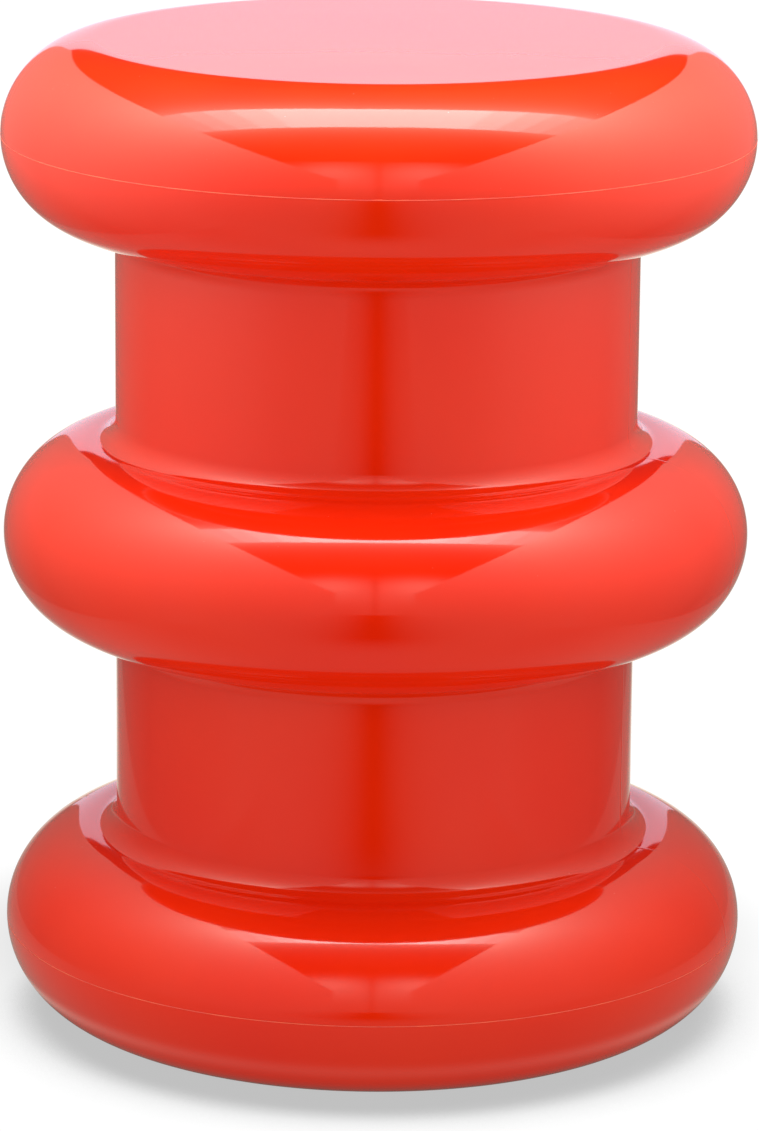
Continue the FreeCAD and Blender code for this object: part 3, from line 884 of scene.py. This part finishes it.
class STOOL_OT_feet(bpy.types.Operator):
    """Mould the six rubber foot pads, ribbed and dimpled underneath"""

    bl_idname = "stool.feet"
    bl_label = "Foot pads"

    def execute(self, context):
        for place, node in enumerate(FOOT_PADS):
            low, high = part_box(node)
            middle = (low + high) / 2
            radius = (high.x - low.x) / 2
            line = foot_line(radius, high.z)
            mesh = turned(f"rubber_foot_{place + 1}", line, column_angles(96), closed=False)
            mesh.transform(Matrix.Translation((middle.x, middle.y, 0)))
            placed(f"rubber_foot_{place + 1}", mesh, rubber_finish(), "pad", node)
        return {"FINISHED"}


def plug_line(foot, top, head):
    """The vent plug, from the middle of its dimpled head over its shank and barb to its end."""
    under = foot + PLUG_HEAD
    dimple, groove = foot + 0.45 * MM, foot + 0.4 * MM
    shank, barb, tip = 4.9 * MM, 5.7 * MM, 4.2 * MM
    neck = under + 4.1 * MM
    rim = 0.9 * MM
    line = [(0, dimple), (2.6 * MM, dimple)]
    line += softened((2.6 * MM, dimple), (3.2 * MM, groove), (3.6 * MM, foot), 0.3 * MM)
    line += softened((3.2 * MM, groove), (3.7 * MM, foot), (6 * MM, foot), 0.3 * MM)
    line += walk((4.2 * MM, foot), (head - rim, foot), 2 * MM)
    line += sweep((head - rim, foot + rim), rim, -90, 0, 0.2 * MM)
    line += softened((head, foot + 1 * MM), (head, under), (head - 1 * MM, under), 0.15 * MM)
    line += [(shank, under), (shank, neck)]
    line += softened((shank, neck), (barb, neck), (tip, top), 0.15 * MM)
    line += softened((barb, neck), (tip, top), (0, top), 0.5 * MM)
    return line + [(0, top)]


class STOOL_OT_plug(bpy.types.Operator):
    """Mould the push-in vent plug, with a rounded head and a barb"""

    bl_idname = "stool.plug"
    bl_label = "Vent plug"

    def execute(self, context):
        low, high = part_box("vent_plug")
        line = plug_line(low.z, high.z, (high.x - low.x) / 2)
        mesh = turned("vent_plug_cap", line, column_angles(96), closed=False)
        placed("vent_plug_cap", mesh, plug_finish(), "plug", "vent_plug")
        return {"FINISHED"}


class STOOL_OT_inside(bpy.types.Operator):
    """Give the structure and fasteners inside the stool their finishes"""

    bl_idname = "stool.inside"
    bl_label = "Inner structure"

    def execute(self, context):
        for names, material in ((STRUCTURE_NODES, structure_finish()), (STEEL_NODES, steel_finish())):
            for name in names:
                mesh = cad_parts[name].data
                for place in range(len(mesh.materials)):
                    mesh.materials[place] = material
        return {"FINISHED"}


# The studio.

STRIP_HEIGHT = 0.815
STRIP_BACK = -0.065
STRIP_FRONT = -0.247
STRIP_HALF = 0.405
STRIP_SHARES = ((0.16, 0.22), (0.22, 0.22), (0.28, 0.18), (0.34, 0.14), (STRIP_HALF, 0.24))
SIDE_FRONT, SIDE_BACK = -2.4, 1.5
OVER_FRONT, OVER_BACK, OVER_GAP = -0.75, 0.9, 0.004
FRONT_HALF, FRONT_TALL, FRONT_PLACE = 1.3, 2.3, -2.0
BACK_HALF, BACK_TALL, BACK_PLACE = 0.70, 1.08, 2.8
WARM_WHITE = (1.0, 0.98, 0.85)
COOL_WHITE = (0.95, 1.0, 1.18)
BACKDROP = 1.04

FLOOR_RADIUS = 6
# Middle of the painted cast shadow on the floor.
PAINTED_SHADOW_MIDDLE = (-0.01, 0.09, 0)
# Radius and width of the painted bright line on the floor round the stool's foot.
PAINTED_LINE_RADIUS, PAINTED_LINE_WIDTH = 0.167, 0.005

CAMERA_PLACE = (0, -2.4652, 0.8354)
CAMERA_LENS = 173.31
CAMERA_DOWN, CAMERA_TURN, CAMERA_ROLL = 0.2476, 0.0008, -0.0086


def glow(name, brightness, colour=(1, 1, 1)):
    """An emitting material. brightness(tree, x, y, z) gives its strength at a place."""
    material = bpy.data.materials.new(name)
    material.use_nodes = True
    tree = material.node_tree
    tree.nodes.clear()
    place = add(tree, "ShaderNodeNewGeometry").outputs["Position"]
    split = add(tree, "ShaderNodeSeparateXYZ", (("Vector", place),)).outputs
    strength = brightness(tree, split["X"], split["Y"], split["Z"])
    light = add(tree, "ShaderNodeEmission", (("Color", (*colour, 1)), ("Strength", strength)))
    output = tree.nodes.new("ShaderNodeOutputMaterial")
    tree.links.new(light.outputs[0], output.inputs["Surface"])
    return material


def board(name, corners, material):
    """A flat board that lights the stool but isn't seen by the camera."""
    mesh = bpy.data.meshes.new(name)
    mesh.from_pydata(corners, [], [tuple(range(len(corners)))])
    mesh.materials.append(material)
    item = bpy.data.objects.new(name, mesh)
    bpy.context.scene.collection.objects.link(item)
    item.visible_camera = False
    item.visible_shadow = False
    return item


def standing(wide, tall, y):
    """The corners of a board that stands across the view."""
    return [(-wide, y, 0), (wide, y, 0), (wide, y, tall), (-wide, y, tall)]


def bell(tree, value, middle, width):
    """One over one plus the square of how far a value is from the middle, in widths."""
    off = calculate(tree, "DIVIDE", calculate(tree, "SUBTRACT", value, middle), width)
    return calculate(tree, "DIVIDE", 1.0, calculate(tree, "MULTIPLY_ADD", off, off, 1.0))


def side_glow(level):
    """The side boards: lit by the strip at the top, fading below and away from it."""

    def brightness(tree, x, y, z):
        low = remap(tree, y, -0.3, 0.1, 0.58, 0.2)
        up = calculate(tree, "DIVIDE", z, 0.65)
        squared = calculate(tree, "MULTIPLY", up, up)
        spot = calculate(tree, "MULTIPLY", squared, bell(tree, y, -0.12, 0.27))
        both = calculate(tree, "MULTIPLY_ADD", spot, 2.4, low)
        return calculate(tree, "MULTIPLY", calculate(tree, "MULTIPLY_ADD", up, 0.1, both), level)

    return brightness


def ceiling_glow(level):
    """The board round the strip, bright beside it and fading away."""

    def brightness(tree, x, y, z):
        middle = (STRIP_BACK + STRIP_FRONT) / 2
        half = (STRIP_BACK - STRIP_FRONT) / 2
        off = calculate(tree, "ABSOLUTE", calculate(tree, "SUBTRACT", y, middle))
        beside = calculate(tree, "MAXIMUM", calculate(tree, "SUBTRACT", off, half), 0.0)
        sharp = calculate(tree, "EXPONENT", calculate(tree, "DIVIDE", beside, -0.05))
        wide = calculate(tree, "EXPONENT", calculate(tree, "DIVIDE", beside, -0.15))
        both = calculate(tree, "MULTIPLY_ADD", sharp, 2.0, calculate(tree, "MULTIPLY", wide, 0.9))
        return calculate(tree, "MULTIPLY", calculate(tree, "ADD", both, 0.04), level)

    return brightness


def hump(tree, value, middle, width):
    """A soft hump: one at its middle, falling to nothing a few widths away."""
    off = calculate(tree, "DIVIDE", calculate(tree, "SUBTRACT", value, middle), width)
    squared = calculate(tree, "MULTIPLY", off, off)
    return calculate(tree, "EXPONENT", calculate(tree, "MULTIPLY", squared, -0.5))


def front_glow(level):
    """The board in front: two soft bright patches side by side, with a thin dark gap between."""

    def brightness(tree, x, y, z):
        aside = calculate(tree, "ABSOLUTE", x)
        tall, wide = hump(tree, z, 1.17, 0.31), hump(tree, aside, 0.48, 0.30)
        patches = calculate(tree, "MULTIPLY", tall, wide)
        low = remap(tree, z, 0.6, 1.8, 0.75, 0.05, smooth=True)
        foot = remap(tree, z, 0.1, 0.6, 0.65, 1.0)
        both = calculate(tree, "MULTIPLY_ADD", patches, 1.3, calculate(tree, "MULTIPLY", low, foot))
        gap = calculate(tree, "MULTIPLY_ADD", hump(tree, x, 0.0, 0.03), -0.35, 1.0)
        return calculate(tree, "MULTIPLY", calculate(tree, "MULTIPLY", both, gap), level)

    return brightness


def floor_glow(tree, x, y):
    """What the floor gives the stool: darker straight in front, brightest straight behind."""
    aside = calculate(tree, "ABSOLUTE", x)
    near = remap(tree, y, -0.1, 0.2, 1.0, 0.62, smooth=True)
    near = calculate(tree, "MULTIPLY", near, remap(tree, y, -0.5, -0.22, 0.72, 0.52, smooth=True))
    spread = calculate(tree, "MULTIPLY_ADD", y, -0.09, 0.066)
    wedge = bell(tree, calculate(tree, "DIVIDE", aside, spread), 0.0, 1.0)
    wedge = calculate(tree, "MULTIPLY", wedge, remap(tree, y, -0.5, -0.27, 1.0, 0.0, smooth=True))
    near = calculate(tree, "MULTIPLY", near, calculate(tree, "SUBTRACT", 1.0, wedge))
    spread = calculate(tree, "MULTIPLY_ADD", calculate(tree, "SUBTRACT", y, 0.4), 0.1, 0.22)
    band = remap(tree, calculate(tree, "SUBTRACT", aside, spread), -0.08, 0.08, 0.85, 0.0, smooth=True)
    band = calculate(tree, "MULTIPLY", band, remap(tree, y, 0.15, 0.5, 0.0, 1.0, smooth=True))
    return calculate(tree, "ADD", near, band)


def floor_finish():
    """The floor: its glow carries a painted shade close to the stool and a painted cast shadow, with the
    light it gives the stool set apart.
    """
    material = bpy.data.materials.new("Pale floor")
    material.use_nodes = True
    tree = material.node_tree
    tree.nodes.clear()
    # Painted contact shade: the glow the camera sees is dimmed where ambient occlusion finds the stool
    # close by.
    sky = add(tree, "ShaderNodeAmbientOcclusion", (("Distance", 0.35),), samples=16).outputs["AO"]
    painted_contact_shade = remap(tree, sky, 0.30, 0.74, 0.51, 1.0, smooth=True)
    place = add(tree, "ShaderNodeNewGeometry").outputs
    spot = place["Position"]
    # Painted cast shadow: a soft round dimming centred a little behind the stool.
    measured = ((0, spot), (1, PAINTED_SHADOW_MIDDLE))
    leaning = add(tree, "ShaderNodeVectorMath", measured, operation="DISTANCE").outputs["Value"]
    painted_cast_shadow = remap(tree, leaning, 0.14, 0.235, 0.72, 1.0, smooth=True)
    seen = calculate(tree, "MULTIPLY", calculate(tree, "MINIMUM", painted_contact_shade, painted_cast_shadow), BACKDROP)
    # What the stool receives: a painted shade that dims it near its foot, a painted thin bright line round
    # it, and more for diffuse light, painted weaker close to the stool.
    painted_foot_shade = remap(tree, sky, 0.32, 0.85, 0.30, 1.0, smooth=True)
    split = add(tree, "ShaderNodeSeparateXYZ", (("Vector", spot),)).outputs
    path = add(tree, "ShaderNodeLightPath").outputs
    lit = calculate(tree, "MULTIPLY", painted_foot_shade, floor_glow(tree, split["X"], split["Y"]))
    reach = add(tree, "ShaderNodeVectorMath", ((0, spot),), operation="LENGTH").outputs["Value"]
    line = hump(tree, reach, PAINTED_LINE_RADIUS, PAINTED_LINE_WIDTH)
    lit = calculate(tree, "MULTIPLY_ADD", line, 0.32, lit)
    # Painted bounce: diffuse rays get extra glow from the floor, painted weaker close to the stool.
    away = remap(tree, reach, 0.17, 0.42, 0.65, 1.25, smooth=True)
    painted_bounce = calculate(tree, "MULTIPLY_ADD", path["Is Diffuse Ray"], away, 1.0)
    lit = calculate(tree, "MULTIPLY", lit, painted_bounce)
    strengths = (("Factor", path["Is Camera Ray"]), ("A", lit), ("B", seen))
    strength = add(tree, "ShaderNodeMix", strengths).outputs[0]
    colours = (("Factor", path["Is Camera Ray"]), ("A", (*WARM_WHITE, 1)), ("B", (1, 1, 1, 1)))
    colour = add(tree, "ShaderNodeMix", colours, data_type="RGBA").outputs[2]
    pale = add(tree, "ShaderNodeEmission", (("Color", colour), ("Strength", strength)))
    clear = add(tree, "ShaderNodeBsdfTransparent")
    sides = ((0, place["Backfacing"]), (1, pale.outputs[0]), (2, clear.outputs[0]))
    mixed = add(tree, "ShaderNodeMixShader", sides)
    output = tree.nodes.new("ShaderNodeOutputMaterial")
    tree.links.new(mixed.outputs[0], output.inputs["Surface"])
    return material


class STOOL_OT_studio(bpy.types.Operator):
    """Build the pale floor, the soft lights and boards, and the camera"""

    bl_idname = "stool.studio"
    bl_label = "Studio"

    def execute(self, context):
        studio = context.scene.stool_studio
        self.strip(studio.strip, studio.fill)
        self.boards(studio.boards)
        self.floor()
        self.room(context.scene, studio.room)
        self.camera(context.scene)
        context.scene.view_settings.view_transform = "Standard"
        context.scene.view_settings.look = "None"
        return {"FINISHED"}

    def strip(self, brightness, fill):
        """One long light over the seat, softer at its ends, and a fill that leaves no reflection."""
        for place, (half, share) in enumerate(STRIP_SHARES):
            self.lamp(f"strip_{round(half / MM)}", half, brightness * share, place * MM)
        self.lamp("overhead_fill", STRIP_HALF, fill, len(STRIP_SHARES) * MM).visible_glossy = False

    def lamp(self, name, half, brightness, drop):
        """A flat lamp as wide as the strip, facing down."""
        light = bpy.data.lights.new(name, "AREA")
        light.shape = "RECTANGLE"
        light.size, light.size_y = 2 * half, STRIP_BACK - STRIP_FRONT
        light.energy = brightness * math.pi * light.size * light.size_y
        item = bpy.data.objects.new(name, light)
        item.location = (0, (STRIP_BACK + STRIP_FRONT) / 2, STRIP_HEIGHT - drop)
        item.visible_camera = False
        bpy.context.scene.collection.objects.link(item)
        return item

    def boards(self, level):
        """White boards at both sides, overhead, in front and behind."""
        front, back, top = SIDE_FRONT, SIDE_BACK, STRIP_HEIGHT
        side = glow("Side board", side_glow(1.15 * level), WARM_WHITE)
        for name, x in (("board_right", STRIP_HALF), ("board_left", -STRIP_HALF)):
            board(name, [(x, front, 0), (x, back, 0), (x, back, top), (x, front, top)], side)
        wide, front, back, over = STRIP_HALF, OVER_FRONT, OVER_BACK, top + OVER_GAP
        corners = [(-wide, front, over), (wide, front, over), (wide, back, over), (-wide, back, over)]
        board("board_over", corners, glow("Ceiling board", ceiling_glow(level), WARM_WHITE))
        material = glow("Front board", front_glow(1.2 * level), WARM_WHITE)
        board("board_front", standing(FRONT_HALF, FRONT_TALL, FRONT_PLACE), material)
        material = glow("Back board", lambda tree, x, y, z: 1.03 * level, COOL_WHITE)
        board("board_back", standing(BACK_HALF, BACK_TALL, BACK_PLACE), material)

    def floor(self):
        """A round pale floor, with a soft painted shade where the stool stands close to it."""
        mesh = bpy.data.meshes.new("floor")
        work = bmesh.new()
        bmesh.ops.create_circle(work, cap_ends=True, radius=FLOOR_RADIUS, segments=96)
        work.to_mesh(mesh)
        work.free()
        item = bpy.data.objects.new("floor", mesh)
        bpy.context.scene.collection.objects.link(item)
        mesh.materials.append(floor_finish())

    def room(self, scene, level):
        """A plain room: white behind the stool, soft grey light elsewhere."""
        world = bpy.data.worlds.new("Studio room")
        world.use_nodes = True
        scene.world = world
        tree = world.node_tree
        tree.nodes.clear()
        path = add(tree, "ShaderNodeLightPath").outputs["Is Camera Ray"]
        strengths = (("Factor", path), ("A", level), ("B", BACKDROP))
        strength = add(tree, "ShaderNodeMix", strengths).outputs[0]
        sky = add(tree, "ShaderNodeBackground", (("Color", (1, 1, 1, 1)), ("Strength", strength)))
        output = tree.nodes.new("ShaderNodeOutputWorld")
        tree.links.new(sky.outputs[0], output.inputs["Surface"])

    def camera(self, scene):
        """The camera, in front and a little above the seat."""
        lens = bpy.data.cameras.new("camera")
        lens.lens, lens.sensor_width = CAMERA_LENS, 36.0
        lens.clip_start, lens.clip_end = 0.05, 40
        item = bpy.data.objects.new("camera", lens)
        scene.collection.objects.link(item)
        down, turn, roll = CAMERA_DOWN, CAMERA_TURN, CAMERA_ROLL
        reach = math.cos(down)
        ahead = Vector((math.sin(turn) * reach, math.cos(turn) * reach, -math.sin(down)))
        level = Vector((math.cos(turn), -math.sin(turn), 0))
        upright = level.cross(ahead)
        across = math.cos(roll) * level - math.sin(roll) * upright
        up = math.sin(roll) * level + math.cos(roll) * upright
        facing = Matrix((across, up, -ahead)).transposed().to_4x4()
        item.matrix_world = Matrix.Translation(CAMERA_PLACE) @ facing
        scene.camera = item


class VIEW3D_PT_stool(bpy.types.Panel):
    """The stool's sizes, colours and making steps"""

    bl_label = "Moulded column stool"
    bl_idname = "VIEW3D_PT_stool"
    bl_space_type = "VIEW_3D"
    bl_region_type = "UI"
    bl_category = "Stool"

    def draw(self, context):
        scene = context.scene
        for group in (scene.stool_sizes, scene.stool_colours, scene.stool_studio):
            box = self.layout.box()
            for key in group.__annotations__:
                box.prop(group, key)
        for step in STEPS:
            self.layout.operator(step.bl_idname)


STEPS = (
    STOOL_OT_studio,
    STOOL_OT_seat,
    STOOL_OT_body,
    STOOL_OT_base,
    STOOL_OT_seams,
    STOOL_OT_feet,
    STOOL_OT_plug,
    STOOL_OT_inside,
)
CLASSES = (StoolSizes, StoolColours, StudioSettings, *STEPS, VIEW3D_PT_stool)


def register():
    for item in CLASSES:
        bpy.utils.register_class(item)
    bpy.types.Scene.stool_sizes = PointerProperty(type=StoolSizes)
    bpy.types.Scene.stool_colours = PointerProperty(type=StoolColours)
    bpy.types.Scene.stool_studio = PointerProperty(type=StudioSettings)


def unregister():
    del bpy.types.Scene.stool_sizes
    del bpy.types.Scene.stool_colours
    del bpy.types.Scene.stool_studio
    for item in reversed(CLASSES):
        bpy.utils.unregister_class(item)


def main():
    register()
    bpy.ops.stool.studio()
    bpy.ops.stool.seat()
    bpy.ops.stool.body()
    bpy.ops.stool.base()
    bpy.ops.stool.seams()
    bpy.ops.stool.feet()
    bpy.ops.stool.plug()
    bpy.ops.stool.inside()


if __name__ == "__main__":
    main()
